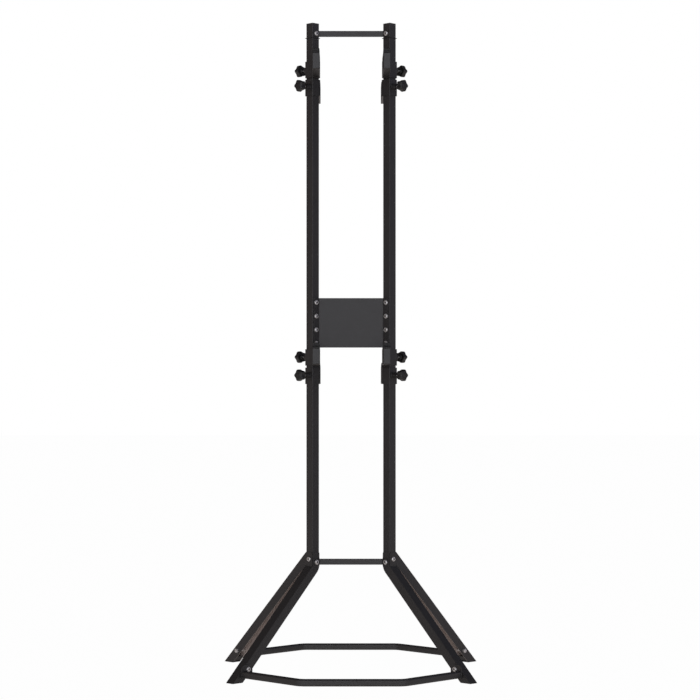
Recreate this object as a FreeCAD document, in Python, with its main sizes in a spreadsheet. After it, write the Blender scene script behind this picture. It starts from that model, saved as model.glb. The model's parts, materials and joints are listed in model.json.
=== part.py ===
import FreeCAD, Part
import os
import math
import Sketcher

# Free-standing two-post bike rack. Millimetres, +Z up, +Y to the rear, +X to the right.
# The origin is on the floor under the middle of the footprint.
# Every driving dimension is a cell of the sheet "Dims".

doc = FreeCAD.newDocument("bike_rack")
sheet = doc.addObject("Spreadsheet::Sheet", "Dims")

DIMS = [
    # posts: square tube set corner-forward
    ("post_side", 30.0), ("post_wall", 1.5), ("post_round", 1.0),
    ("post_offset", 128.0), ("post_back", -31.0),
    ("post_foot", 347.0), ("post_joint", 1165.0), ("post_seam", 2113.0), ("post_top", 2162.5),
    ("top_peak", 2.5), ("seam_lip", 3.2), ("seam_tall", 1.4),
    ("spigot_gap", 0.15), ("spigot_wall", 2.0), ("spigot_drop", 60.0), ("spigot_round", 1.6),
    ("splice_low", 1068.0), ("splice_high", 1262.0),
    # folded flat bars and panel
    ("sheet_thick", 2.0), ("flange_width", 26.0), ("bar_tall", 20.0),
    ("top_bar_base", 2118.5), ("low_bar_base", 359.4),
    ("panel_base", 1083.0), ("panel_tall", 165.0),
    ("panel_bolt_low", 1097.0), ("panel_bolt_pitch", 45.3),
    # legs: folded channels open underneath, cheeks straddle the post
    ("leg_wall", 1.8), ("leg_gap", 0.1), ("leg_deep", 30.0), ("cheek_top", 402.0),
    ("front_bend", 358.0), ("front_reach", 373.0), ("front_heel", 346.0),
    ("rear_reach", 421.0), ("rear_heel", 350.0),
    ("foot_thick", 3.0), ("foot_plug_tall", 22.0),
    ("front_leg_bolt", 369.0), ("rear_leg_bolt", 379.0), ("web_start", 17.3),
    ("heel_round", 40.0),
    # base bars
    ("base_side", 22.0), ("base_wall", 1.5), ("base_round", 5.0), ("base_low", 15.0),
    ("front_bar_run", 427.0), ("rear_bar_run", 489.0), ("base_bend", 40.0),
    ("front_bar_along", 326.0), ("rear_bar_along", 374.0),
    ("plate_thick", 3.0), ("plate_wide", 46.0), ("plate_tall", 42.0), ("plate_gap", 0.05),
    ("front_base_bolt_along", 309.0), ("front_base_bolt_up", 42.4),
    ("rear_base_bolt_along", 353.7), ("rear_base_bolt_up", 43.3),
    # fasteners
    ("bolt_radius", 4.0), ("bolt_hole", 4.3), ("head_radius", 8.3), ("head_tall", 4.4),
    ("socket_radius", 3.2), ("socket_deep", 2.6), ("nut_radius", 7.4), ("nut_tall", 6.4),
    ("nut_bore", 4.03), ("lock_tall", 8.0),
    # arms: collar, arm and boss are one weldment
    ("collar_side", 36.0), ("collar_inner", 31.0), ("collar_round", 1.5), ("collar_tall", 54.6),
    ("arm_width", 24.0), ("arm_tall", 53.0), ("arm_lift", 1.6), ("arm_wall", 1.6), ("arm_shift", 12.8),
    ("arm_reach", 190.0), ("plug_face", 3.0), ("plug_deep", 16.0), ("plug_fit", 0.2), ("plug_bevel", 2.0),
    ("boss_radius", 9.5), ("boss_end", 34.0), ("boss_bore", 4.05),
    ("pad_width", 23.8), ("pad_thick", 6.0), ("pad_inner", 32.0), ("tip_tall", 19.1),
    ("tip_front", 26.0), ("tip_thick", 11.0),
    # star knobs
    ("knob_up", 29.0), ("knob_start", 49.5), ("knob_thick", 20.0), ("knob_core", 15.6), ("lobe_radius", 6.2),
    ("lobe_circle", 14.0), ("knob_hub", 9.0), ("hub_long", 5.0), ("stud_tip", 15.5), ("stud_radius", 4.0),
    # heights of the collars' lower edges
    ("upper_front_base", 1981.0), ("upper_rear_base", 1921.0),
    ("lower_front_base", 1023.0), ("lower_rear_base", 961.5),
]

VAL = {}
for row, (alias, value) in enumerate(DIMS, start=1):
    sheet.set("A%d" % row, alias)
    sheet.set("B%d" % row, repr(value))
    sheet.setAlias("B%d" % row, alias)
    VAL[alias] = value
doc.recompute()


class Q:
    """A length that carries its expression on the sheet and its number."""

    def __init__(self, text, value):
        self.text = text
        self.value = value

    def __add__(self, o):
        o = as_q(o)
        return Q("(%s + %s)" % (self.text, o.text), self.value + o.value)

    __radd__ = __add__

    def __sub__(self, o):
        o = as_q(o)
        return Q("(%s - %s)" % (self.text, o.text), self.value - o.value)

    def __rsub__(self, o):
        return as_q(o) - self

    def __mul__(self, o):
        o = as_q(o)
        return Q("(%s * %s)" % (self.text, o.text), self.value * o.value)

    __rmul__ = __mul__

    def __truediv__(self, o):
        o = as_q(o)
        return Q("(%s / %s)" % (self.text, o.text), self.value / o.value)

    def __neg__(self):
        return Q("(0 - %s)" % self.text, -self.value)


def as_q(o):
    if isinstance(o, Q):
        return o
    return Q("(%r)" % float(o), float(o))


def d(alias):
    return Q("Dims.%s" % alias, VAL[alias])


HALF = math.sqrt(0.5)
ROOT = math.sqrt(2.0)
V = FreeCAD.Vector
ZAX = V(0, 0, 1)


def bind(obj, prop, q):
    q = as_q(q)
    obj.setExpression(prop, q.text)


def origin_plane(body, role):
    for f in body.Origin.OriginFeatures:
        if f.Role == role:
            return f
    raise RuntimeError("no plane " + role)


def new_body(name):
    return doc.addObject("PartDesign::Body", name)


def new_sketch(body, name, role):
    sk = body.newObject("Sketcher::SketchObject", name)
    sk.AttachmentSupport = (origin_plane(body, role), [""])
    sk.MapMode = "FlatFace"
    return sk


def lock(sk, geo, pos, x, y):
    """Fix one point of the sketch at (x, y), both bound to the sheet."""
    for kind, q in (("DistanceX", as_q(x)), ("DistanceY", as_q(y))):
        i = sk.addConstraint(Sketcher.Constraint(kind, -1, 1, geo, pos, q.value))
        sk.setExpression("Constraints[%d]" % i, q.text)


def polygon(body, name, role, pts):
    """Closed polygon whose every corner is bound to the sheet."""
    sk = new_sketch(body, name, role)
    pts = [(as_q(x), as_q(y)) for x, y in pts]
    n = len(pts)
    for i in range(n):
        a, b = pts[i], pts[(i + 1) % n]
        sk.addGeometry(Part.LineSegment(V(a[0].value, a[1].value, 0), V(b[0].value, b[1].value, 0)), False)
    for i in range(n):
        sk.addConstraint(Sketcher.Constraint("Coincident", i, 2, (i + 1) % n, 1))
    for i in range(n):
        lock(sk, i, 1, pts[i][0], pts[i][1])
    return sk


def rounded_square(sk, cx, cy, side, rad):
    """Rounded square centred at (cx, cy) in a sketch, bound to the sheet."""
    cx, cy, side, rad = as_q(cx), as_q(cy), as_q(side), as_q(rad)
    x0, x1 = cx.value - side.value / 2, cx.value + side.value / 2
    y0, y1 = cy.value - side.value / 2, cy.value + side.value / 2
    r = rad.value
    line = [((x0 + r, y0), (x1 - r, y0)), ((x1, y0 + r), (x1, y1 - r)),
            ((x1 - r, y1), (x0 + r, y1)), ((x0, y1 - r), (x0, y0 + r))]
    cen = [(x1 - r, y0 + r, -90, 0), (x1 - r, y1 - r, 0, 90), (x0 + r, y1 - r, 90, 180), (x0 + r, y0 + r, 180, 270)]
    g = []
    for (a, b), (ax, ay, t0, t1) in zip(line, cen):
        g.append(sk.addGeometry(Part.LineSegment(V(a[0], a[1], 0), V(b[0], b[1], 0)), False))
        circ = Part.Circle(V(ax, ay, 0), ZAX, r)
        g.append(sk.addGeometry(Part.ArcOfCircle(circ, math.radians(t0), math.radians(t1)), False))
    for k in range(4):
        sk.addConstraint(Sketcher.Constraint("Tangent", g[2 * k], 2, g[2 * k + 1], 1))
        sk.addConstraint(Sketcher.Constraint("Tangent", g[2 * k + 1], 2, g[(2 * k + 2) % 8], 1))
    sk.addConstraint(Sketcher.Constraint("Horizontal", g[0]))
    sk.addConstraint(Sketcher.Constraint("Vertical", g[2]))
    for k in (3, 5, 7):
        sk.addConstraint(Sketcher.Constraint("Equal", g[1], g[k]))
    i = sk.addConstraint(Sketcher.Constraint("Radius", g[1], r))
    sk.setExpression("Constraints[%d]" % i, rad.text)
    lock(sk, g[0], 1, cx - side / 2 + rad, cy - side / 2)
    lock(sk, g[4], 1, cx + side / 2 - rad, cy + side / 2)
    return g


def pad(body, sk, name, length, both=False):
    f = body.newObject("PartDesign::Pad", name)
    f.Profile = sk
    bind(f, "Length", length)
    if both:
        f.SideType = "Symmetric"
    sk.Visibility = False
    return f


def pocket(body, sk, name, length, both=False):
    f = body.newObject("PartDesign::Pocket", name)
    f.Profile = sk
    bind(f, "Length", length)
    if both:
        f.SideType = "Symmetric"
    sk.Visibility = False
    return f


def place(obj, x, y, z, angle=0.0):
    obj.Placement = FreeCAD.Placement(V(x, y, z), FreeCAD.Rotation(ZAX, angle))


def box(name, lx, ly, lz, place_at=None):
    o = doc.addObject("Part::Box", name)
    bind(o, "Length", lx)
    bind(o, "Width", ly)
    bind(o, "Height", lz)
    if place_at is not None:
        o.Placement = place_at
    return o


def cylinder(name, radius, height, base, axis):
    o = doc.addObject("Part::Cylinder", name)
    bind(o, "Radius", radius)
    bind(o, "Height", height)
    o.Placement = FreeCAD.Placement(V(*base), FreeCAD.Rotation(ZAX, V(*axis)))
    return o


def cut(name, base, tool):
    o = doc.addObject("Part::Cut", name)
    o.Base = base
    o.Tool = tool
    return o


def fuse(name, shapes):
    o = doc.addObject("Part::MultiFuse", name)
    o.Shapes = shapes
    return o


def fillet(name, base, rad, pick):
    """Round the edges of base that pick() accepts."""
    doc.recompute()
    o = doc.addObject("Part::Fillet", name)
    o.Base = base
    o.Edges = [(i, rad, rad) for i, e in enumerate(base.Shape.Edges, start=1) if pick(e)]
    return o


def body_fillet(body, name, base, rad, pick):
    """Round the edges of a feature that pick() accepts, inside its body."""
    doc.recompute()
    names = ["Edge%d" % i for i, e in enumerate(base.Shape.Edges, start=1) if pick(e)]
    if not names:
        raise RuntimeError("no edges for " + name)
    f = body.newObject("PartDesign::Fillet", name)
    f.Base = (base, names)
    bind(f, "Radius", rad)
    return f


def is_line(e):
    return e.Curve.TypeId == "Part::GeomLine"


def along(e, axis):
    if not is_line(e):
        return False
    t = e.Vertexes[-1].Point - e.Vertexes[0].Point
    return abs(abs(t.normalize().dot(axis)) - 1.0) < 1e-6


NODES = []


def node(obj, label):
    obj.Label = label
    NODES.append(obj)
    return obj


PX = VAL["post_offset"]
PY = VAL["post_back"]
HP = VAL["post_side"] / 2.0
SIDES = (("left", -1), ("right", 1))


def post_dir(sx, inward, sy):
    """Unit normal of a post face: inward (+1) or outward (-1) in X, front (-1) or rear (+1) in Y."""
    return V(-sx * inward * HALF, sy * HALF, 0)


def on_post(sx, direction, off, z):
    return V(PX * sx, PY, z) + direction * off


# ---------------------------------------------------------------- fasteners
def bolt(name, seat, direction, shank):
    """Button-head socket bolt: seat is the point under the head, direction points out of the head."""
    rot = FreeCAD.Rotation(ZAX, direction)
    head = doc.addObject("Part::Cylinder", name + "_head")
    bind(head, "Radius", d("head_radius"))
    bind(head, "Height", d("head_tall"))
    dome = fillet(name + "_dome", head, 3.2,
                  lambda e: (not is_line(e)) and e.CenterOfMass.z > 1.0 and len(e.Vertexes) == 1)
    rod = doc.addObject("Part::Cylinder", name + "_rod")
    bind(rod, "Radius", d("bolt_radius"))
    rod.Height = shank + 0.5
    rod.Placement = FreeCAD.Placement(V(0, 0, -shank), FreeCAD.Rotation())
    both = fuse(name + "_solid", [dome, rod])
    hexa = doc.addObject("Part::Prism", name + "_socket")
    hexa.Polygon = 6
    bind(hexa, "Circumradius", d("socket_radius"))
    bind(hexa, "Height", d("socket_deep") + 1.0)
    hexa.Placement = FreeCAD.Placement(V(0, 0, VAL["head_tall"] - VAL["socket_deep"]), FreeCAD.Rotation())
    o = cut(name, both, hexa)
    o.Placement = FreeCAD.Placement(seat, rot)
    return o


def nut(name, seat, direction, tall):
    """Hex nut: seat is the point on the clamped face, the nut grows along direction."""
    rot = FreeCAD.Rotation(ZAX, direction)
    hexa = doc.addObject("Part::Prism", name + "_hex")
    hexa.Polygon = 6
    bind(hexa, "Circumradius", d("nut_radius"))
    bind(hexa, "Height", tall)
    bore = doc.addObject("Part::Cylinder", name + "_bore")
    bind(bore, "Radius", d("nut_bore"))
    bind(bore, "Height", as_q(tall) + 2.0)
    bore.Placement = FreeCAD.Placement(V(0, 0, -1), FreeCAD.Rotation())
    o = cut(name, hexa, bore)
    o.Placement = FreeCAD.Placement(seat, rot)
    return o


def group(label, members):
    o = doc.addObject("Part::Compound", label)
    o.Links = members
    return node(o, label)


def drilled(label, base, holes):
    """Cut round holes, given as (name, point, direction, length), through base."""
    tools = []
    for nm, p, dr, ln in holes:
        start = p - dr * (ln / 2.0)
        tools.append(cylinder(nm, d("bolt_hole"), ln, tuple(start), tuple(dr)))
    tool = tools[0] if len(tools) == 1 else fuse(label + "_drills", tools)
    return node(cut(label, base, tool), label)


# ---------------------------------------------------------------- posts
def tube(name, side, rad, wall, tall):
    b = new_body(name)
    sk = new_sketch(b, name + "_section", "XY_Plane")
    rounded_square(sk, 0, 0, side, rad)
    rounded_square(sk, 0, 0, side - wall * 2, rad * 0.5)
    pad(b, sk, name + "_pad", tall)
    return b


panel_levels = [VAL["panel_bolt_low"] + i * VAL["panel_bolt_pitch"] for i in range(4)]
top_level = VAL["top_bar_base"] + VAL["bar_tall"] / 2.0

for side, sx in SIDES:
    inner_front = post_dir(sx, 1, -1)
    outer_front = post_dir(sx, -1, -1)

    low = tube("lower_tube_" + side, d("post_side"), d("post_round"), d("post_wall"), d("post_joint") - d("post_foot"))
    place(low, PX * sx, PY, VAL["post_foot"], 45.0)
    holes = [("lower_hole_%s_%d" % (side, i), on_post(sx, inner_front, HP, z), inner_front, 12.0)
             for i, z in enumerate(panel_levels[:2])]
    holes.append(("lower_hole_%s_f" % side, on_post(sx, inner_front, 0, VAL["front_leg_bolt"]), inner_front, 60.0))
    holes.append(("lower_hole_%s_r" % side, on_post(sx, outer_front, 0, VAL["rear_leg_bolt"]), outer_front, 60.0))
    drilled(side + "_lower_post", low, holes)

    up = tube("upper_tube_" + side, d("post_side"), d("post_round"), d("post_wall"), d("post_seam") - d("post_joint"))
    place(up, PX * sx, PY, VAL["post_joint"], 45.0)
    holes = [("upper_hole_%s_%d" % (side, i), on_post(sx, inner_front, HP, z), inner_front, 12.0)
             for i, z in enumerate(panel_levels[2:])]
    drilled(side + "_upper_post", up, holes)

    inner = d("post_side") - d("post_wall") * 2 - d("spigot_gap") * 2
    spl = tube("splice_tube_" + side, inner, d("spigot_round"), d("spigot_wall"), d("splice_high") - d("splice_low"))
    place(spl, PX * sx, PY, VAL["splice_low"], 45.0)
    holes = [("splice_hole_%s_%d" % (side, i), on_post(sx, inner_front, HP, z), inner_front, 16.0)
             for i, z in enumerate(panel_levels)]
    drilled(side + "_splice", spl, holes)

    # top section: closed tube with a low peak, a thin lip at the seam and a spigot into the upper post
    b = new_body("top_section_" + side)
    sk = new_sketch(b, "top_wall_" + side, "XY_Plane")
    rounded_square(sk, 0, 0, d("post_side"), d("post_round"))
    pad(b, sk, "top_wall_pad_" + side, d("post_top") - d("post_seam"))
    sk = new_sketch(b, "top_hollow_" + side, "XY_Plane")
    rounded_square(sk, 0, 0, d("post_side") - 6.0, d("spigot_round") * 0.5)
    hollow = pocket(b, sk, "top_hollow_cut_" + side, d("post_top") - d("post_seam") - 3.0)
    hollow.Reversed = True
    place(b, PX * sx, PY, VAL["post_seam"], 45.0)
    lip_side = VAL["post_side"] + 2 * VAL["seam_lip"]
    lip = box("lip_" + side, d("post_side") + d("seam_lip") * 2, d("post_side") + d("seam_lip") * 2, d("seam_tall"))
    lip_f = fillet("lip_round_" + side, lip, 1.4, lambda e: along(e, ZAX))
    lip_f.Placement = FreeCAD.Placement(V(PX * sx, PY, VAL["post_seam"]), FreeCAD.Rotation(ZAX, 45.0)).multiply(
        FreeCAD.Placement(V(-lip_side / 2, -lip_side / 2, 0), FreeCAD.Rotation()))
    lip_in = box("lip_core_" + side, d("post_side") - 6.0, d("post_side") - 6.0, d("seam_tall") + 4.0)
    lip_in.Placement = FreeCAD.Placement(V(PX * sx, PY, VAL["post_seam"] - 2), FreeCAD.Rotation(ZAX, 45.0)).multiply(
        FreeCAD.Placement(V(-HP + 3, -HP + 3, 0), FreeCAD.Rotation()))
    ring = cut("lip_ring_" + side, lip_f, lip_in)
    spig = tube("top_spigot_" + side, inner, d("spigot_round"), d("spigot_wall"), d("spigot_drop") + 6.0)
    place(spig, PX * sx, PY, VAL["post_seam"] - VAL["spigot_drop"], 45.0)
    peak = doc.addObject("Part::Cone", "top_peak_" + side)
    bind(peak, "Radius1", d("post_side") / 2 - 1.0)
    bind(peak, "Radius2", as_q(1.5))
    bind(peak, "Height", d("top_peak"))
    peak.Placement = FreeCAD.Placement(V(PX * sx, PY, VAL["post_top"] - 0.01), FreeCAD.Rotation())
    whole = fuse("top_solid_" + side, [b, ring, spig, peak])
    drilled(side + "_post_top", whole,
            [("top_hole_" + side, on_post(sx, inner_front, HP, top_level), inner_front, 12.0)])


# ---------------------------------------------------------------- folded flat bars and panel
def folded(name, tall, base, off):
    """Flat strip between the posts with a 45 degree flange on each post's inner front face."""
    a, th, fw = d("post_offset"), d("sheet_thick"), d("flange_width")
    back = as_q(0.0)
    xi = a - off * ROOT - back            # inner fold, right side
    xo = a - (off + th) * ROOT + th - back
    ei = (xi + fw * HALF, back - fw * HALF)
    eo = (ei[0] - th * HALF, ei[1] - th * HALF)
    pts = [(-ei[0], ei[1]), (-xi, back), (xi, back), (ei[0], ei[1]),
           (eo[0], eo[1]), (xo, back - th), (-xo, back - th), (-eo[0], eo[1])]
    b = new_body(name)
    sk = polygon(b, name + "_plan", "XY_Plane", list(reversed(pts)))
    p = pad(b, sk, name + "_pad", tall)
    body_fillet(b, name + "_fold", p, as_q(1.2),
                lambda e: along(e, ZAX) and abs(e.CenterOfMass.y) < VAL["sheet_thick"] + 0.2)
    place(b, 0, PY, base)
    return b


flush = d("post_side") / 2
over_cheek = d("post_side") / 2 + d("leg_gap") + d("leg_wall") + 0.05

fb = folded("top_strip", d("bar_tall"), VAL["top_bar_base"], flush)
drilled("top_crossbar", fb, [("top_strip_hole_" + s, on_post(sx, post_dir(sx, 1, -1), HP, top_level), post_dir(sx, 1, -1), 20.0)
                             for s, sx in SIDES])
fb = folded("low_strip", d("bar_tall"), VAL["low_bar_base"], over_cheek)
drilled("bottom_crossbar", fb, [("low_strip_hole_" + s, on_post(sx, post_dir(sx, 1, -1), HP, VAL["front_leg_bolt"]), post_dir(sx, 1, -1), 20.0)
                                for s, sx in SIDES])
fb = folded("panel_sheet", d("panel_tall"), VAL["panel_base"], flush)
drilled("centre_panel", fb, [("panel_hole_%s_%d" % (s, i), on_post(sx, post_dir(sx, 1, -1), HP, z), post_dir(sx, 1, -1), 20.0)
                             for s, sx in SIDES for i, z in enumerate(panel_levels)])

# ---------------------------------------------------------------- legs
LEG_TURN = {("front", -1): 225.0, ("front", 1): 315.0, ("rear", -1): 135.0, ("rear", 1): 45.0}
wall_in = d("post_side") / 2 + d("leg_gap")
wall_out = wall_in + d("leg_wall")


def leg_line(which):
    """Upper edge of a leg: start point and run/drop, as lengths on the sheet."""
    if which == "front":
        return d("post_side") / 2, d("front_bend"), d("front_reach")
    return d("post_side") / 2, d("cheek_top"), d("rear_reach")


def leg_numbers(which):
    s0, z0, s1 = leg_line(which)
    run, drop = s1.value - s0.value, z0.value
    return s0.value, z0.value, s1.value, run, drop, math.hypot(run, drop)


def leg(which, side, sx):
    s0, z0, s1 = leg_line(which)
    run, drop = s1 - s0, z0
    _, _, _, nr, nd, ln = leg_numbers(which)
    slope_len = ln / nr                                   # slanted length per unit of run
    lift = d("leg_deep") * slope_len                      # vertical size of the slanted part
    ft = d("foot_thick")

    def upper(s):
        return z0 - (as_q(s) - s0) * (drop / run)

    def upper_at(z):
        return s0 + (z0 - as_q(z)) * (run / drop)

    def lower_at(z):
        return upper_at(as_q(z) + lift)

    h = d("post_side") / 2
    nm = "%s_%s_leg" % (which, side)
    if which == "front":
        outline = [(-h, d("cheek_top")), (-h, upper(-h) - lift), (lower_at(ft), ft), (upper_at(ft), ft),
                   (h, z0), (h, d("cheek_top"))]
    else:
        outline = [(-h, d("cheek_top")), (-h, d("rear_heel")), (h, d("rear_heel")), (h, upper(h) - lift),
                   (lower_at(ft), ft), (upper_at(ft), ft), (h, z0)]
    b = new_body(nm + "_body")
    sk = polygon(b, nm + "_outline", "XZ_Plane", outline)
    p = pad(b, sk, nm + "_pad", wall_out * 2, True)
    # the channel: everything between the cheeks goes, except the web on the upper side
    ws = d("web_start")
    skin = d("leg_wall") * slope_len
    far = upper_at(-20.0)
    hollow = [(-h - 5.0, d("cheek_top") + 5.0), (-h - 5.0, as_q(-40.0)), (far, as_q(-40.0)),
              (far, upper(far) - skin), (ws, upper(ws) - skin), (ws, d("cheek_top") + 5.0)]
    sk = polygon(b, nm + "_hollow", "XZ_Plane", hollow)
    c = pocket(b, sk, nm + "_channel", wall_in * 2, True)
    doc.recompute()

    # rounded cheek corners
    nax = V(0, 1, 0)

    def corner(e):
        if not along(e, nax) or e.Length > VAL["leg_wall"] + 0.2:
            return False
        q = e.CenterOfMass
        return q.z > 300.0 and q.x < -h.value + 0.1

    if which == "front":
        c = body_fillet(b, nm + "_heel", c, d("heel_round"), lambda e: corner(e) and e.CenterOfMass.z < 380.0)
        doc.recompute()
        f = body_fillet(b, nm + "_corners", c, as_q(6.0), lambda e: corner(e) and e.CenterOfMass.z > 395.0)
    else:
        f = body_fillet(b, nm + "_corners", c, as_q(6.0), corner)
    place(b, PX * sx, PY, 0, LEG_TURN[(which, sx)])
    u, n = leg_axes(which, sx)
    if which == "front":
        top = (0.0, VAL["front_leg_bolt"])
        base = (VAL["front_base_bolt_along"], VAL["front_base_bolt_up"])
    else:
        top = (0.0, VAL["rear_leg_bolt"])
        base = (VAL["rear_base_bolt_along"], VAL["rear_base_bolt_up"])
    holes = []
    for i, (s, z) in enumerate((top, base)):
        holes.append(("%s_hole_%d" % (nm, i), V(PX * sx, PY, z) + u * s, n, 60.0))
    return drilled(nm, b, holes)


def leg_axes(which, sx):
    """Unit vectors of a leg in plan: outward along it, and towards its inner side face."""
    sy = -1 if which == "front" else 1
    return V(sx * HALF, sy * HALF, 0), V(-sx * HALF, sy * HALF, 0)


for which in ("front", "rear"):
    for side, sx in SIDES:
        leg(which, side, sx)

# moulded foot plugs: a sole under the leg's cut and a block up inside the channel
for which in ("front", "rear"):
    feet = []
    for side, sx in SIDES:
        s0, z0, s1 = leg_line(which)
        run, drop = s1 - s0, z0
        _, _, _, nr, nd, ln = leg_numbers(which)
        lift = d("leg_deep") * (ln / nr)
        skin = d("leg_wall") * (ln / nr) + 0.3

        def upper_at(z):
            return s0 + (z0 - as_q(z)) * (run / drop)

        ft = d("foot_thick")
        nm = "%s_%s_foot_plug" % (which, side)
        b = new_body(nm + "_body")
        sole = [(upper_at(lift), as_q(0.0)), (upper_at(as_q(0.0)), as_q(0.0)),
                (upper_at(ft), ft), (upper_at(ft + lift), ft)]
        sk = polygon(b, nm + "_sole", "XZ_Plane", sole)
        pad(b, sk, nm + "_sole_pad", wall_out * 2, True)
        hi = d("foot_plug_tall")
        block = [(upper_at(ft + lift) + 3.0, ft), (upper_at(ft + skin), ft),
                 (upper_at(hi + skin), hi), (upper_at(hi + lift) + 3.0, hi)]
        sk = polygon(b, nm + "_block", "XZ_Plane", block)
        pad(b, sk, nm + "_block_pad", wall_in * 2 - 0.4, True)
        place(b, PX * sx, PY, 0, LEG_TURN[(which, sx)])
        feet.append(b)
    foot_group = doc.addObject("Part::Compound", which + "_foot_plugs")
    foot_group.Links = feet
    node(foot_group, which + "_foot_plugs")


# ---------------------------------------------------------------- base bars
def base_bar(which):
    sy = -1 if which == "front" else 1
    run = d("%s_bar_run" % which)
    al = d("%s_bar_along" % which)
    face = wall_out + d("plate_gap") + d("plate_thick")
    # end point of the bar's axis, in the middle of the plate
    ex = d("post_offset") + al * HALF - face * HALF
    ey = al * HALF + face * HALF
    bx = ex - (run - ey)                                   # corner of the axis
    rad = d("base_bend")
    tang = rad * math.tan(math.radians(22.5))
    b = new_body(which + "_bar_tube")
    path = new_sketch(b, which + "_bar_path", "XY_Plane")
    y1 = run * sy
    pts = [(as_q(0.0), y1), (bx - tang, y1), (bx + tang * HALF, y1 - tang * HALF * sy), (ex + 0.8 * HALF, ey * sy - 0.8 * HALF * sy)]
    cx, cy = bx - tang, y1 - rad * sy
    path.addGeometry(Part.LineSegment(V(pts[0][0].value, pts[0][1].value, 0), V(pts[1][0].value, pts[1][1].value, 0)), False)
    t0, t1 = (-90.0, -45.0) if sy < 0 else (45.0, 90.0)
    circ = Part.Circle(V(cx.value, cy.value, 0), ZAX, rad.value)
    path.addGeometry(Part.ArcOfCircle(circ, math.radians(t0), math.radians(t1)), False)
    path.addGeometry(Part.LineSegment(V(pts[2][0].value, pts[2][1].value, 0), V(pts[3][0].value, pts[3][1].value, 0)), False)
    first, last = (1, 2) if sy < 0 else (2, 1)
    path.addConstraint(Sketcher.Constraint("Coincident", 0, 2, 1, first))
    path.addConstraint(Sketcher.Constraint("Coincident", 1, last, 2, 1))
    lock(path, 0, 1, pts[0][0], pts[0][1])
    lock(path, 0, 2, pts[1][0], pts[1][1])
    lock(path, 1, 3, cx, cy)
    lock(path, 2, 2, pts[3][0], pts[3][1])
    i = path.addConstraint(Sketcher.Constraint("DistanceX", -1, 1, 1, last, pts[2][0].value))
    path.setExpression("Constraints[%d]" % i, pts[2][0].text)
    sec = new_sketch(b, which + "_bar_section", "YZ_Plane")
    mid = d("base_low") + d("base_side") / 2
    rounded_square(sec, y1, mid, d("base_side"), d("base_round"))
    rounded_square(sec, y1, mid, d("base_side") - d("base_wall") * 2, d("base_round") - d("base_wall"))
    # the path lies at the height of the section's middle
    path.AttachmentOffset = FreeCAD.Placement(V(0, 0, mid.value), FreeCAD.Rotation())
    path.setExpression("AttachmentOffset.Base.z", mid.text)
    doc.recompute()
    pipe = b.newObject("PartDesign::AdditivePipe", which + "_bar_pipe")
    pipe.Profile = sec
    pipe.Spine = (path, [])
    pipe.Transition = "Transformed"
    doc.recompute()
    mir = b.newObject("PartDesign::Mirrored", which + "_bar_mirror")
    mir.Originals = [pipe]
    mir.MirrorPlane = (origin_plane(b, "YZ_Plane"), [""])
    b.Tip = mir
    place(b, 0, PY, 0)
    pieces = [b]
    holes = []
    for side, sx in SIDES:
        u, n = leg_axes(which, sx)
        start = VAL["%s_base_bolt_along" % which] - VAL["plate_wide"] * 0.5 + (5.0 if which == "front" else 9.0)
        pl = box("%s_plate_%s" % (which, side), d("plate_wide"), d("plate_thick"), d("plate_tall"))
        # full corners above, around the bolt, and small ones below
        fl = fillet("%s_plate_crown_%s" % (which, side), pl, 13.0,
                    lambda e: along(e, V(0, 1, 0)) and e.CenterOfMass.z > 30.0)
        fl = fillet("%s_plate_round_%s" % (which, side), fl, 3.0,
                    lambda e: along(e, V(0, 1, 0)) and e.CenterOfMass.z < 1.0)
        corner = V(PX * sx, PY, VAL["base_low"]) + u * start + n * (face.value - VAL["plate_thick"])
        # local X along the leg, local Y away from the leg's face
        if (u.cross(n)).z > 0:
            rot = FreeCAD.Rotation(V(1, 0, 0), u)
            fl.Placement = FreeCAD.Placement(corner, FreeCAD.Rotation(u, n, ZAX, "XYZ"))
        else:
            fl.Placement = FreeCAD.Placement(corner + n * VAL["plate_thick"], FreeCAD.Rotation(u, n * -1.0, ZAX, "XYZ"))
        pieces.append(fl)
        holes.append(("%s_plate_hole_%s" % (which, side),
                      V(PX * sx, PY, VAL["%s_base_bolt_up" % which]) + u * VAL["%s_base_bolt_along" % which] + n * face.value, n, 14.0))
    whole = fuse(which + "_bar_solid", pieces)
    return drilled(which + "_base_bar", whole, holes)


base_bar("front")
base_bar("rear")

# ---------------------------------------------------------------- bolts and nuts
TH = VAL["sheet_thick"]
wo = wall_out.value
plate_out = wo + VAL["plate_gap"] + VAL["plate_thick"]
strip_out = over_cheek.value + TH
inside = HP - VAL["post_wall"]
splice_in = inside - VAL["spigot_gap"] - VAL["spigot_wall"]

members, nuts = [], []
for s, sx in SIDES:
    n = post_dir(sx, 1, -1)
    members.append(bolt("top_bolt_" + s, on_post(sx, n, HP + TH, top_level), n, 12.5))
    nuts.append(nut("top_nut_" + s, on_post(sx, n, HP - 3.0, top_level), n * -1.0, d("nut_tall")))
group("top_crossbar_bolts", members)
group("top_crossbar_nuts", nuts)

members, nuts = [], []
for s, sx in SIDES:
    n = post_dir(sx, 1, -1)
    for i, z in enumerate(panel_levels):
        members.append(bolt("panel_bolt_%s_%d" % (s, i), on_post(sx, n, HP + TH, z), n, 13.0))
        nuts.append(nut("panel_nut_%s_%d" % (s, i), on_post(sx, n, splice_in, z), n * -1.0, d("nut_tall")))
group("panel_bolts", members)
group("panel_nuts", nuts)

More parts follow.
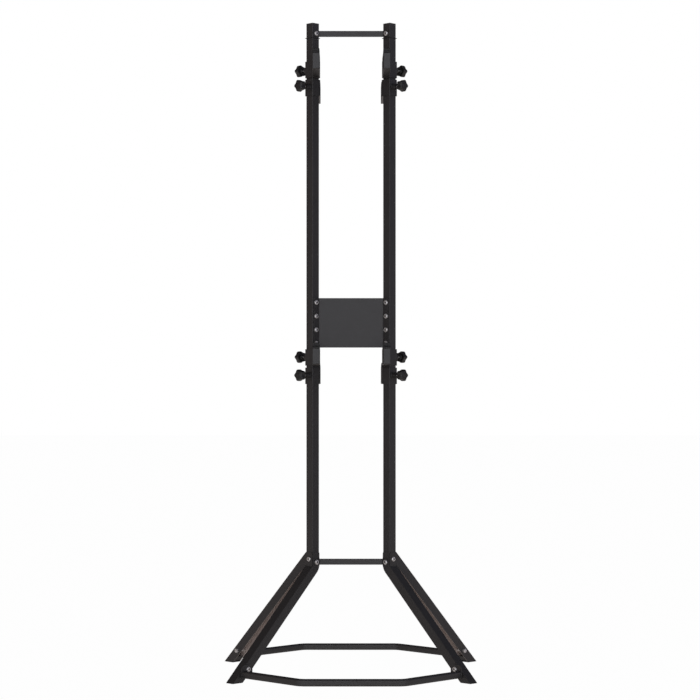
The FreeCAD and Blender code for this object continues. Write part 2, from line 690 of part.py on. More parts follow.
members, nuts = [], []
for s, sx in SIDES:
    n = post_dir(sx, 1, -1)
    members.append(bolt("front_leg_bolt_" + s, on_post(sx, n, strip_out, VAL["front_leg_bolt"]), n, strip_out + wo + VAL["lock_tall"] + 1.5))
    nuts.append(nut("front_leg_nut_" + s, on_post(sx, n, -wo, VAL["front_leg_bolt"]), n * -1.0, d("lock_tall")))
for s, sx in SIDES:
    n = post_dir(sx, -1, -1)
    members.append(bolt("rear_leg_bolt_" + s, on_post(sx, n, wo, VAL["rear_leg_bolt"]), n, strip_out + wo + VAL["lock_tall"] + 1.5))
    nuts.append(nut("rear_leg_nut_" + s, on_post(sx, n, -wo, VAL["rear_leg_bolt"]), n * -1.0, d("lock_tall")))
group("leg_bolts", members)
group("leg_nuts", nuts)

members, nuts = [], []
for which in ("front", "rear"):
    for s, sx in SIDES:
        u, n = leg_axes(which, sx)
        p = V(PX * sx, PY, VAL["%s_base_bolt_up" % which]) + u * VAL["%s_base_bolt_along" % which]
        members.append(bolt("base_bolt_%s_%s" % (which, s), p + n * plate_out, n, plate_out + wo + VAL["lock_tall"] + 1.5))
        nuts.append(nut("base_nut_%s_%s" % (which, s), p - n * wo, n * -1.0, d("lock_tall")))
group("base_bar_bolts", members)
group("base_bar_nuts", nuts)


# ---------------------------------------------------------------- arms
def arm_set(level, side, sx, face):
    """One sliding arm: welded collar, arm and boss, with its end plug, cradle pad and star knob."""
    k = -sx if face == "front" else sx                    # which way the arm is offset from the post's axis
    turn = 0.0 if face == "front" else 180.0
    base = VAL["%s_%s_base" % (level, face)]
    nm = "%s_%s_%s" % (level, side, face)
    where = FreeCAD.Placement(V(PX * sx, PY, base), FreeCAD.Rotation(ZAX, turn))

    def at(x, y, z, rot=None):
        return where.multiply(FreeCAD.Placement(V(x, y, z), rot if rot is not None else FreeCAD.Rotation()))

    col = tube(nm + "_collar", d("collar_side"), d("collar_round"),
               (d("collar_side") - d("collar_inner")) / 2, d("collar_tall"))
    col.Placement = at(0, 0, 0, FreeCAD.Rotation(ZAX, 45.0))

    aw, ah, wl, rc = d("arm_width"), d("arm_tall"), d("arm_wall"), d("arm_reach")
    rise = VAL["arm_lift"]
    tube_len = rc - d("plug_face")
    left = k * VAL["arm_shift"] - VAL["arm_width"] / 2.0
    outer = box(nm + "_arm_out", aw, tube_len, ah)
    soft = fillet(nm + "_arm_soft", outer, 1.6, lambda e: along(e, V(0, 1, 0)))
    soft.Placement = at(left, -tube_len.value, rise)
    core = box(nm + "_arm_in", aw - wl * 2, tube_len + 20.0, ah - wl * 2,
               at(left + wl.value, -tube_len.value - 10.0, rise + wl.value))
    shell = cut(nm + "_arm_shell", soft, core)
    # the root is mitred onto the collar's 45 degree face
    bite = d("collar_side") / 2 - 0.8
    big = box(nm + "_mitre", as_q(80.0), as_q(80.0), ah + 20.0)
    # a block whose front corner face lies on the collar's inner front face
    nx, ny = k * HALF, -HALF
    rot = FreeCAD.Rotation(V(nx, ny, 0), V(-ny, nx, 0), ZAX, "XYZ")
    off = V(nx, ny, 0) * (bite.value - 80.0) + V(-ny, nx, 0) * (-40.0)
    big.Placement = at(off.x, off.y, -10.0, rot)
    arm = cut(nm + "_arm_root", shell, big)
    # threaded boss for the knob's stud
    kx, ky = -k * HALF, HALF
    mid = VAL["knob_up"]
    # local Z along the stud, local X level and away from the rack's middle
    kz, kside = V(kx, ky, 0), V(kx, -ky, 0)
    krot = FreeCAD.Rotation(kside, kz.cross(kside), kz, "ZXY")
    start = VAL["collar_side"] / 2.0 - 0.8
    boss = doc.addObject("Part::Cylinder", nm + "_boss")
    bind(boss, "Radius", d("boss_radius"))
    bind(boss, "Height", d("boss_end") - d("collar_side") / 2 + 0.8)
    boss.Placement = at(kx * start, ky * start, mid, krot)
    solid = fuse(nm + "_weld", [col, arm, boss])
    bore = doc.addObject("Part::Cylinder", nm + "_bore")
    bind(bore, "Radius", d("boss_bore"))
    bind(bore, "Height", d("boss_end"))
    bore.Placement = at(kx * 10.0, ky * 10.0, mid, krot)
    node(cut(nm + "_arm", solid, bore), nm + "_arm")

    # end plug: bevelled face and a spigot in the arm's end
    b = new_body(nm + "_plug_body")
    w2, pf, pd, ft = aw / 2, d("plug_face"), d("plug_deep"), d("plug_fit")
    sk = polygon(b, nm + "_plug_face", "XZ_Plane", [(-w2, as_q(0.0)), (w2, as_q(0.0)), (w2, ah), (-w2, ah)])
    p1 = pad(b, sk, nm + "_plug_pad", pf)
    iw, il = w2 - wl - ft, wl + ft
    sk = polygon(b, nm + "_plug_core", "XZ_Plane", [(-iw, il), (iw, il), (iw, ah - il), (-iw, ah - il)])
    p2 = pad(b, sk, nm + "_plug_spigot", pd)
    p2.Reversed = True
    doc.recompute()
    lo = p2.Shape.BoundBox
    front = lo.YMin
    rim = b.newObject("PartDesign::Chamfer", nm + "_plug_rim")
    rim.Base = (p2, ["Edge%d" % i for i, e in enumerate(p2.Shape.Edges, start=1)
                     if is_line(e) and abs(e.CenterOfMass.y - front) < 1e-4])
    bind(rim, "Size", d("plug_bevel"))
    # the plug's face points to local -Y; its back stands on the tube's end
    b.Placement = at(k * VAL["arm_shift"], -tube_len.value, rise)
    node(b, nm + "_end_plug")

    # rubber cradle pad with an upright stop at the outer end
    b = new_body(nm + "_pad_body")
    pt, tt, tk = d("pad_thick"), d("tip_tall"), d("tip_thick")
    y0 = -(rc - 1.0)
    y1 = -d("pad_inner")
    yt = y0 + d("tip_front")
    prof = [(y0, as_q(0.0)), (y1, as_q(0.0)), (y1, pt - 1.5), (y1 - 4.0, pt), (yt + tk + 6.0, pt),
            (yt + tk + 2.5, pt + 1.5), (yt + tk + 0.6, pt + 5.0), (yt + tk - 0.6, tt - 2.0), (yt + tk - 2.6, tt),
            (yt + 2.4, tt), (yt + 0.6, tt - 1.8), (yt - 0.6, pt + 8.0), (yt - 2.6, pt + 4.2),
            (yt - 6.0, pt + 1.4), (yt - 11.0, pt), (y0 + 1.2, pt), (y0, pt - 1.2)]
    sk = polygon(b, nm + "_pad_profile", "YZ_Plane", prof)
    pp = pad(b, sk, nm + "_pad_solid", d("pad_width"), True)
    b.Placement = at(k * VAL["arm_shift"], 0, rise + VAL["arm_tall"])
    node(b, nm + "_cradle_pad")

    # star knob on a threaded stud; the local Z axis points away from the post
    b = new_body(nm + "_knob_body")
    sk = new_sketch(b, nm + "_knob_core", "XY_Plane")

    def circle(sk, x, y, rad):
        x, y, rad = as_q(x), as_q(y), as_q(rad)
        g = sk.addGeometry(Part.Circle(V(x.value, y.value, 0), ZAX, rad.value), False)
        lock(sk, g, 3, x, y)
        i = sk.addConstraint(Sketcher.Constraint("Radius", g, rad.value))
        sk.setExpression("Constraints[%d]" % i, rad.text)

    def lift(sk, z):
        z = as_q(z)
        sk.AttachmentOffset = FreeCAD.Placement(V(0, 0, z.value), FreeCAD.Rotation())
        sk.setExpression("AttachmentOffset.Base.z", z.text)

    circle(sk, 0.0, 0.0, d("knob_core"))
    lift(sk, d("knob_start"))
    pad(b, sk, nm + "_knob_disc", d("knob_thick"))
    sk = new_sketch(b, nm + "_knob_lobe", "XY_Plane")
    circle(sk, d("lobe_circle"), 0.0, d("lobe_radius"))
    lift(sk, d("knob_start") + 1.5)
    lobe = pad(b, sk, nm + "_knob_lobe_pad", d("knob_thick") - 4.0)
    doc.recompute()
    pat = b.newObject("PartDesign::PolarPattern", nm + "_knob_star")
    pat.Originals = [lobe]
    for f in b.Origin.OriginFeatures:
        if f.Role == "Z_Axis":
            pat.Axis = (f, [""])
    pat.Angle = 360.0
    pat.Occurrences = 5
    b.Tip = pat
    doc.recompute()
    sk = new_sketch(b, nm + "_knob_hub", "XY_Plane")
    circle(sk, 0.0, 0.0, d("knob_hub"))
    lift(sk, d("knob_start") - d("hub_long"))
    pad(b, sk, nm + "_knob_hub_pad", d("hub_long") + 2.0)
    sk = new_sketch(b, nm + "_knob_stud", "XY_Plane")
    circle(sk, 0.0, 0.0, d("stud_radius"))
    lift(sk, d("stud_tip"))
    st = pad(b, sk, nm + "_knob_stud_pad", d("knob_start") - d("stud_tip") + 2.0)
    b.Placement = at(0, 0, mid, krot)
    node(b, nm + "_knob")


for level in ("upper", "lower"):
    for side, sx in SIDES:
        for face in ("front", "rear"):
            arm_set(level, side, sx, face)

# ---------------------------------------------------------------- checks and export
doc.recompute()
bad = [o.Name for o in doc.Objects if any(s in ("Invalid", "Error") for s in o.State)]
if bad:
    raise RuntimeError("failed objects: " + ", ".join(bad))
for o in NODES:
    sh = o.Shape
    if sh.isNull() or not sh.isValid() or not sh.Solids:
        raise RuntimeError("bad shape: " + o.Label)
    for so in sh.Solids:
        if so.Volume < 1.0:
            raise RuntimeError("empty solid: " + o.Label)

os.makedirs("parts", exist_ok=True)
box_all = FreeCAD.BoundBox()
for o in NODES:
    o.Shape.exportStep("parts/%s.step" % o.Label)
    box_all.add(o.Shape.BoundBox)
    print("%-32s solids %2d  volume %10.1f" % (o.Label, len(o.Shape.Solids), o.Shape.Volume))
print("nodes", len(NODES))
print("box", [round(x, 2) for x in (box_all.XMin, box_all.YMin, box_all.ZMin, box_all.XMax, box_all.YMax, box_all.ZMax)])
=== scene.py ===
import json
import math

import bpy
from mathutils import Matrix, Vector


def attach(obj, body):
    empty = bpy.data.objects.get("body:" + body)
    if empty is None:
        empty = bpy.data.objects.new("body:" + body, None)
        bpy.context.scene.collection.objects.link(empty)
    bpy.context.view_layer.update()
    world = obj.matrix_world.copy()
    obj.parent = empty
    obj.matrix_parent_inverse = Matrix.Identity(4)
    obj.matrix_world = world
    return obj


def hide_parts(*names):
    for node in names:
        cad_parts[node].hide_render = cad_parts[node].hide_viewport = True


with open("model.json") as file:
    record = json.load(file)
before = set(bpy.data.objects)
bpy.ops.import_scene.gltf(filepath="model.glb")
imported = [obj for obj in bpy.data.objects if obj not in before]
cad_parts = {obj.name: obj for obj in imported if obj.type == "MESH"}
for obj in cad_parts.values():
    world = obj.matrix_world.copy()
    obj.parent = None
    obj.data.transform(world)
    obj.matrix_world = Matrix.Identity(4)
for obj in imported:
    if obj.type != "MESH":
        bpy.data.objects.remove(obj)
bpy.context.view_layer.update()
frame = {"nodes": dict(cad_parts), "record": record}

scene = bpy.context.scene
nodes = frame["nodes"]

HALF = math.sqrt(0.5)
MM = 0.001
POST_X, POST_Y = 128.0, -31.0          # post axes, millimetres
LEVELS = {("upper", "front"): 1981.0, ("upper", "rear"): 1921.0,
          ("lower", "front"): 1023.0, ("lower", "rear"): 961.5}
ARM_SHIFT, ARM_WIDTH, ARM_REACH = 12.8, 24.0, 190.0
ARM_LOW, ARM_HIGH = 1.6, 54.6          # above the collar's foot
COLLAR_HALF, KNOB_UP, BOSS = 18.0, 29.0, 9.5

# ---------------------------------------------------------------- camera
cam_data = bpy.data.cameras.new("camera")
cam = bpy.data.objects.new("camera", cam_data)
scene.collection.objects.link(cam)
cam.location = (-0.047, -6.831, 0.925)
cam.rotation_euler = (math.radians(90.0), 0.0, 0.0)
cam_data.sensor_width = 36.0
cam_data.lens = 104.9
cam_data.shift_x = 0.0186
cam_data.shift_y = 0.0643
cam_data.clip_end = 200.0
scene.camera = cam


# ---------------------------------------------------------------- materials
def new_material(name):
    mat = bpy.data.materials.new(name)
    mat.use_nodes = True
    nt = mat.node_tree
    nt.nodes.clear()
    out = nt.nodes.new("ShaderNodeOutputMaterial")
    bsdf = nt.nodes.new("ShaderNodeBsdfPrincipled")
    nt.links.new(bsdf.outputs["BSDF"], out.inputs["Surface"])
    return mat, nt, bsdf


def place_coords(nt, scale=(1.0, 1.0, 1.0), turn=(0.0, 0.0, 0.0)):
    tc = nt.nodes.new("ShaderNodeTexCoord")
    mp = nt.nodes.new("ShaderNodeMapping")
    mp.inputs["Scale"].default_value = scale
    mp.inputs["Rotation"].default_value = turn
    nt.links.new(tc.outputs["Object"], mp.inputs["Vector"])
    return mp.outputs["Vector"]


def noise(nt, vec, scale, detail=2.0, rough=0.5):
    n = nt.nodes.new("ShaderNodeTexNoise")
    n.inputs["Scale"].default_value = scale
    n.inputs["Detail"].default_value = detail
    n.inputs["Roughness"].default_value = rough
    nt.links.new(vec, n.inputs["Vector"])
    return n.outputs["Fac"]


def ramp(nt, fac, stops):
    r = nt.nodes.new("ShaderNodeValToRGB")
    el = r.color_ramp.elements
    while len(el) < len(stops):
        el.new(0.5)
    for e, (pos, col) in zip(el, stops):
        e.position = pos
        e.color = (*col, 1.0)
    nt.links.new(fac, r.inputs["Fac"])
    return r.outputs["Color"]


def levels(nt, fac, lo, hi, a, b):
    m = nt.nodes.new("ShaderNodeMapRange")
    m.inputs["From Min"].default_value = lo
    m.inputs["From Max"].default_value = hi
    m.inputs["To Min"].default_value = a
    m.inputs["To Max"].default_value = b
    nt.links.new(fac, m.inputs["Value"])
    return m.outputs["Result"]


def maths(nt, op, a, b):
    m = nt.nodes.new("ShaderNodeMath")
    m.operation = op
    for i, v in enumerate((a, b)):
        if isinstance(v, (int, float)):
            m.inputs[i].default_value = v
        else:
            nt.links.new(v, m.inputs[i])
    return m.outputs["Value"]


def mixed(nt, fac, a, b, kind="MIX"):
    m = nt.nodes.new("ShaderNodeMix")
    m.data_type = "RGBA"
    m.blend_type = kind
    for sock, v in ((m.inputs[0], fac), (m.inputs[6], a), (m.inputs[7], b)):
        if isinstance(v, (int, float)):
            sock.default_value = v
        elif isinstance(v, tuple):
            sock.default_value = (*v, 1.0)
        else:
            nt.links.new(v, sock)
    return m.outputs[2]


def bump(nt, bsdf, layers):
    """layers: (height, strength, distance), coarse to fine."""
    last = None
    for height, strength, distance in layers:
        b = nt.nodes.new("ShaderNodeBump")
        b.inputs["Strength"].default_value = strength
        b.inputs["Distance"].default_value = distance
        nt.links.new(height, b.inputs["Height"])
        if last is not None:
            nt.links.new(last, b.inputs["Normal"])
        last = b.outputs["Normal"]
    nt.links.new(last, bsdf.inputs["Normal"])


def powder_coat(name, channel=False):
    """Satin black powder coat: orange peel, fine grain, faint handling marks.
    On the folded legs (channel) the cheeks' inner faces are painted paler and warmer: painted bounce light inside the
    channel."""
    mat, nt, bsdf = new_material(name)
    v = place_coords(nt)
    wide = noise(nt, v, 7.0, 3.0, 0.55)
    patch = noise(nt, v, 55.0, 3.0, 0.6)
    grain = noise(nt, v, 1900.0, 1.0, 0.5)
    peel = noise(nt, v, 520.0, 1.5, 0.45)
    base = ramp(nt, wide, [(0.30, (0.0175, 0.0168, 0.0172)), (0.70, (0.0215, 0.0208, 0.0214))])
    dust = ramp(nt, patch, [(0.52, (0.0, 0.0, 0.0)), (0.86, (1.0, 1.0, 1.0))])
    col = mixed(nt, levels(nt, dust, 0.0, 1.0, 0.0, 0.18), base, (0.034, 0.033, 0.032))
    fleck = levels(nt, grain, 0.25, 0.75, 0.88, 1.12)
    col = mixed(nt, 1.0, col, fleck, "MULTIPLY")
    if channel:
        # distance from the leg's middle plane: the cheeks' inner faces lie nearer than their outer ones
        tc = nt.nodes.new("ShaderNodeTexCoord")
        sp = nt.nodes.new("ShaderNodeSeparateXYZ")
        nt.links.new(tc.outputs["Object"], sp.inputs[0])
        out = maths(nt, "SUBTRACT", maths(nt, "ABSOLUTE", sp.outputs["X"], 0.0), POST_X * MM)
        back = maths(nt, "ABSOLUTE", maths(nt, "SUBTRACT", sp.outputs["Y"], POST_Y * MM), 0.0)
        across = maths(nt, "ABSOLUTE", maths(nt, "MULTIPLY", maths(nt, "SUBTRACT", back, out), HALF), 0.0)
        geo = nt.nodes.new("ShaderNodeNewGeometry")
        nz = nt.nodes.new("ShaderNodeSeparateXYZ")
        nt.links.new(geo.outputs["Normal"], nz.inputs[0])
        inner = maths(nt, "MULTIPLY", maths(nt, "LESS_THAN", across, 0.0159), maths(nt, "LESS_THAN", nz.outputs["Z"], 0.3))
        # only below the post's foot, where the cheeks stand clear of it
        inner = maths(nt, "MULTIPLY", inner, maths(nt, "LESS_THAN", sp.outputs["Z"], 0.335))
        # painted bounce light: the cheeks' inner faces get a pale warm colour standing in for light thrown up from the
        # floor
        painted_bounce_colour = ramp(nt, patch, [(0.30, (0.35, 0.30, 0.275)), (0.70, (0.42, 0.365, 0.335))])
        col = mixed(nt, inner, col, painted_bounce_colour)
    nt.links.new(col, bsdf.inputs["Base Color"])
    rough = maths(nt, "ADD", levels(nt, wide, 0.25, 0.75, 0.42, 0.47), levels(nt, patch, 0.3, 0.8, -0.02, 0.03))
    nt.links.new(rough, bsdf.inputs["Roughness"])
    bump(nt, bsdf, [(peel, 0.22, 0.00010), (grain, 0.14, 0.00003)])
    return mat


def zinc(name, tone=1.0):
    """Bright zinc plate with fine drawn scratches and a faint passivate tint; tone darkens it."""
    mat, nt, bsdf = new_material(name)
    v = place_coords(nt)
    tint = noise(nt, v, 140.0, 2.0, 0.5)
    blot = noise(nt, v, 520.0, 3.0, 0.6)
    lines = noise(nt, place_coords(nt, (900.0, 900.0, 60.0), (0.4, 0.3, 0.2)), 3.0, 2.0, 0.6)
    col = ramp(nt, tint, [(0.30, (0.60, 0.585, 0.56)), (0.55, (0.66, 0.655, 0.65)), (0.75, (0.60, 0.62, 0.66))])
    col = mixed(nt, levels(nt, blot, 0.45, 0.8, 0.0, 0.35), col, (0.40, 0.40, 0.39))
    if tone < 1.0:
        col = mixed(nt, 1.0, col, (tone, tone, tone), "MULTIPLY")
    nt.links.new(col, bsdf.inputs["Base Color"])
    bsdf.inputs["Metallic"].default_value = 1.0
    rough = maths(nt, "ADD", levels(nt, blot, 0.3, 0.8, 0.44, 0.56), levels(nt, lines, 0.4, 0.7, 0.0, 0.06))
    nt.links.new(rough, bsdf.inputs["Roughness"])
    bump(nt, bsdf, [(lines, 0.25, 0.00004), (blot, 0.2, 0.00003)])
    return mat


def moulded(name, dark, light, rough_lo, rough_hi, grain_scale, depth):
    """Injection-moulded black plastic with a spark-eroded grain."""
    mat, nt, bsdf = new_material(name)
    v = place_coords(nt)
    wide = noise(nt, v, 40.0, 2.0, 0.5)
    grain = noise(nt, v, grain_scale, 2.0, 0.55)
    scuff = noise(nt, place_coords(nt, (1.0, 1.0, 6.0), (0.5, 0.2, 0.9)), 160.0, 3.0, 0.65)
    col = ramp(nt, wide, [(0.3, dark), (0.7, light)])
    rub = levels(nt, scuff, 0.60, 0.85, 0.0, 0.45)
    col = mixed(nt, rub, col, tuple(2.0 * c for c in light))
    nt.links.new(col, bsdf.inputs["Base Color"])
    rough = maths(nt, "SUBTRACT", levels(nt, grain, 0.25, 0.75, rough_lo, rough_hi), levels(nt, scuff, 0.6, 0.85, 0.0, 0.10))
    nt.links.new(rough, bsdf.inputs["Roughness"])
    bump(nt, bsdf, [(scuff, 0.10, 0.00006), (grain, 0.35, depth)])
    return mat


def rubber(name):
    """Matt black rubber with a mould grain and a greyish bloom."""
    mat, nt, bsdf = new_material(name)
    v = place_coords(nt)
    bloom = noise(nt, v, 65.0, 4.0, 0.6)
    grain = noise(nt, v, 1300.0, 2.0, 0.6)
    col = ramp(nt, bloom, [(0.30, (0.0080, 0.0080, 0.0082)), (0.58, (0.0110, 0.0109, 0.0110)), (0.85, (0.021, 0.0206, 0.0202))])
    nt.links.new(col, bsdf.inputs["Base Color"])
    nt.links.new(levels(nt, bloom, 0.25, 0.8, 0.52, 0.68), bsdf.inputs["Roughness"])
    bsdf.inputs["Specular IOR Level"].default_value = 0.44
    bump(nt, bsdf, [(bloom, 0.15, 0.0003), (grain, 0.4, 0.00006)])
    return mat


MATS = {
    "powder_coat": powder_coat("satin_powder_coat"),
    "zinc_fastener": zinc("zinc_plate"),
    "knob_plastic": moulded("knob_plastic", (0.0065, 0.0065, 0.0068), (0.0095, 0.0095, 0.0098), 0.40, 0.52, 1500.0, 0.00006),
    "plug_plastic": moulded("plug_plastic", (0.0170, 0.0170, 0.0175), (0.0215, 0.0215, 0.0220), 0.38, 0.48, 1200.0, 0.00005),
    "cradle_rubber": rubber("cradle_rubber"),
    "foot_plastic": moulded("foot_plastic", (0.0075, 0.0075, 0.0078), (0.0110, 0.0110, 0.0112), 0.52, 0.66, 1000.0, 0.00008),
}
# the legs' coat carries painted bounce light on the channels' inner faces
LEG_COAT = powder_coat("leg_powder_coat_painted_bounce", channel=True)
STUD_ZINC = zinc("zinc_stud", 0.27)      # duller than the bolts: plain zinc with some oil in the thread
SLOT_OF = {s["node"]: s["material_slot"] for s in frame["record"]["subparts"]}


def dress(obj, slot_name):
    mat = LEG_COAT if obj.name.endswith("_leg") else MATS[slot_name]
    if not obj.material_slots:
        obj.data.materials.append(mat)
    for s in obj.material_slots:
        s.link = "OBJECT"
        s.material = mat


# ---------------------------------------------------------------- the carried-over nodes: finish and softened edges
def soften(obj, width, angle=38.0, segments=2):
    weld = obj.modifiers.new("join", "WELD")
    weld.merge_threshold = 0.000004
    bev = obj.modifiers.new("edge", "BEVEL")
    bev.width = width
    bev.segments = segments
    bev.limit_method = "ANGLE"
    bev.angle_limit = math.radians(angle)
    bev.use_clamp_overlap = True
    bev.miter_outer = "MITER_ARC"
    nrm = obj.modifiers.new("normals", "WEIGHTED_NORMAL")
    nrm.mode = "FACE_AREA"
    nrm.weight = 50
    nrm.keep_sharp = False


for name, obj in nodes.items():
    dress(obj, SLOT_OF[name])
    if name.endswith(("_knob", "_cradle_pad")):
        continue
    if name.endswith(("_bolts", "_nuts")):
        soften(obj, 0.00035)
    elif name.endswith("_end_plug"):
        soften(obj, 0.0005)
    elif name.endswith("_foot_plugs"):
        soften(obj, 0.0006)
    else:
        soften(obj, 0.0005)


# ---------------------------------------------------------------- mesh helpers
def make_mesh(name, verts, faces, slot_name, body, replaces=None, sharp=45.0):
    """verts in millimetres, in the row frame."""
    me = bpy.data.meshes.new(name)
    me.from_pydata([tuple(c * MM for c in v) for v in verts], [], faces)
    me.validate()
    me.update()
    for p in me.polygons:
        p.use_smooth = True
    me.set_sharp_from_angle(angle=math.radians(sharp))
    obj = bpy.data.objects.new(name, me)
    scene.collection.objects.link(obj)
    obj.data.materials.append(MATS[slot_name])
    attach(obj, body)
    if replaces:
        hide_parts(replaces)
    return obj


def loft(rings, close_first=True, close_last=True):
    """Quads between equal rings of points; the end rings are closed with fans."""
    verts, faces = [], []
    n = len(rings[0])
    for r in rings:
        verts.extend(r)
    for i in range(len(rings) - 1):
        for j in range(n):
            a, b = i * n + j, i * n + (j + 1) % n
            faces.append((a, b, b + n, a + n))
    if close_first:
        c = len(verts)
        verts.append(sum((Vector(p) for p in rings[0]), Vector()) / n)
        faces.extend((c, (j + 1) % n, j) for j in range(n))
    if close_last:
        c = len(verts)
        o = (len(rings) - 1) * n
        verts.append(sum((Vector(p) for p in rings[-1]), Vector()) / n)
        faces.extend((c, o + j, o + (j + 1) % n) for j in range(n))
    return verts, faces


def arm_frame(level, side, face):
    """Matrix from an arm's own millimetres (collar foot at 0, arm along -Y) to the row frame, and its hand."""
    sx = -1.0 if side == "left" else 1.0
    k = -sx if face == "front" else sx
    turn = 0.0 if face == "front" else math.pi
    m = Matrix.Translation((POST_X * sx, POST_Y, LEVELS[(level, face)])) @ Matrix.Rotation(turn, 4, "Z")
    return m, k


# ---------------------------------------------------------------- star knob and its stud
LOBES, KNOB_START = 5, 49.5


def star_radius(t):
    c = math.cos(LOBES * t)
    # broad lobes with nearly straight sides between them
    return 18.05 + 1.95 * c + 0.20 * math.cos(2 * LOBES * t)


KNOB_RINGS = [
    # height above the head's back, round radius, inset from the star outline, share of the star
    (-5.0, 4.3, 0.0, 0.0), (-5.0, 7.8, 0.0, 0.0), (-4.6, 8.5, 0.0, 0.0), (-3.4, 8.85, 0.0, 0.0), (-0.8, 9.2, 0.0, 0.0),
    (0.0, 9.9, 4.5, 0.15), (0.3, 11.0, 3.6, 0.45), (0.5, 12.0, 2.6, 0.80), (0.7, 0.0, 1.5, 1.0),
    (1.1, 0.0, 0.75, 1.0), (1.7, 0.0, 0.25, 1.0), (2.4, 0.0, 0.05, 1.0), (6.0, 0.0, 0.0, 1.0),
    (12.1, 0.0, 0.10, 1.0), (15.0, 0.0, 0.28, 1.0), (16.7, 0.0, 0.65, 1.0), (18.0, 0.0, 1.35, 1.0),
    (18.9, 0.0, 2.35, 1.0), (19.4, 0.0, 3.5, 1.0), (19.65, 10.6, 4.8, 0.7), (19.75, 9.9, 6.0, 0.25),
    (19.8, 9.2, 0.0, 0.0), (19.5, 8.9, 0.0, 0.0), (18.9, 8.7, 0.0, 0.0), (18.8, 8.4, 0.0, 0.0), (18.9, 8.1, 0.0, 0.0),
    (19.4, 7.9, 0.0, 0.0), (19.7, 7.5, 0.0, 0.0), (19.9, 6.0, 0.0, 0.0), (20.0, 3.0, 0.0, 0.0),
]


def knob(level, side, face):
    nm = "%s_%s_%s" % (level, side, face)
    m, k = arm_frame(level, side, face)
    axis = Vector((-k * HALF, HALF, 0.0))
    across = Vector((-k * HALF, -HALF, 0.0))
    third = axis.cross(across)
    centre = Vector((0.0, 0.0, KNOB_UP))
    n = 120

    def ring(h, fn):
        out = []
        for j in range(n):
            t = 2.0 * math.pi * j / n
            r = fn(t)
            out.append(m @ (centre + axis * h + across * (r * math.cos(t)) + third * (r * math.sin(t))))
        return out

    rings = []
    for h, rr, inset, w in KNOB_RINGS:
        rings.append(ring(KNOB_START + h, lambda t: rr * (1.0 - w) + (star_radius(t) - inset) * w))
    verts, faces = loft(rings, close_first=False)
    make_mesh(nm + "_star_head", verts, faces, "knob_plastic", nm + "_star", nm + "_knob", sharp=50.0)

    # stud with a rolled 8 mm thread, pitch 1.25 mm, and a chamfered tip
    pitch, depth, steps, turns = 1.25, 0.62, 6, 24
    s0, s1 = 15.5, KNOB_START - 2.0
    count = int((s1 - s0) / (pitch / steps))
    rings = []
    for i in range(count + 1):
        s = s0 + (s1 - s0) * i / count
        taper = min(1.0, 0.66 + 0.34 * (s - s0) / 1.6)
        out = []
        for j in range(turns):
            t = 2.0 * math.pi * j / turns
            ph = (s / pitch - j / turns) % 1.0
            crest = abs(2.0 * ph - 1.0)
            r = (3.95 - depth * min(1.0, max(0.0, 1.15 * crest - 0.05))) * taper
            out.append(m @ (centre + axis * s + across * (r * math.cos(t)) + third * (r * math.sin(t))))
        rings.append(out)
    verts, faces = loft(rings)
    stud = make_mesh(nm + "_stud", verts, faces, "zinc_fastener", nm + "_star", sharp=60.0)
    stud.material_slots[0].link = "OBJECT"
    stud.material_slots[0].material = STUD_ZINC


# ---------------------------------------------------------------- rubber cradle pad
def smooth_path(points, rounds):
    """Polyline with its listed corners rounded: rounds maps a point's number to a radius."""
    out = []
    n = len(points)
    for i in range(n):
        p = Vector((*points[i], 0.0))
        r = rounds.get(i, 0.0)
        if r <= 0.0:
            out.append(p)
            continue
        a = Vector((*points[i - 1], 0.0)) - p
        b = Vector((*points[(i + 1) % n], 0.0)) - p
        a.normalize()
        b.normalize()
        half = a.angle(b) / 2.0
        cut = r / math.tan(half)
        centre = p + (a + b).normalized() * (r / math.sin(half))
        p0, p1 = p + a * cut, p + b * cut
        v0, v1 = p0 - centre, p1 - centre
        ang = v0.angle(v1)
        steps = max(2, int(math.degrees(ang) / 12.0))
        sgn = 1.0 if v0.cross(v1).z > 0 else -1.0
        for s in range(steps + 1):
            out.append(centre + Matrix.Rotation(sgn * ang * s / steps, 3, "Z") @ v0)
    return out


def pad_profile():
    """Side outline of the pad, anticlockwise: y along the arm, z above the arm's top."""
    y0, y1 = -(ARM_REACH - 1.0), -32.0
    pts, rounds = [], {}

    def add(y, z, r=0.0):
        if r:
            rounds[len(pts)] = r
        pts.append((y, z))

    add(y0, 0.0)
    add(y1, 0.0)
    add(y1, 6.0, 3.6)
    # shallow grip grooves across the pad
    g = y1 - 12.0
    while g > y0 + 50.0:
        add(g + 1.7, 6.0, 0.5)
        add(g + 0.7, 4.9, 0.4)
        add(g - 0.7, 4.9, 0.4)
        add(g - 1.7, 6.0, 0.5)
        g -= 10.0
    add(y0 + 38.4, 6.0, 5.5)       # root of the stop, cradle side
    add(y0 + 35.6, 19.1, 3.0)      # top of the stop
    add(y0 + 25.4, 19.1, 3.2)
    add(y0 + 25.8, 6.0, 3.0)       # root of the stop, towards the arm's end
    add(y0, 6.0, 4.0)
    return smooth_path(pts, rounds)


PAD_OUTLINE = pad_profile()


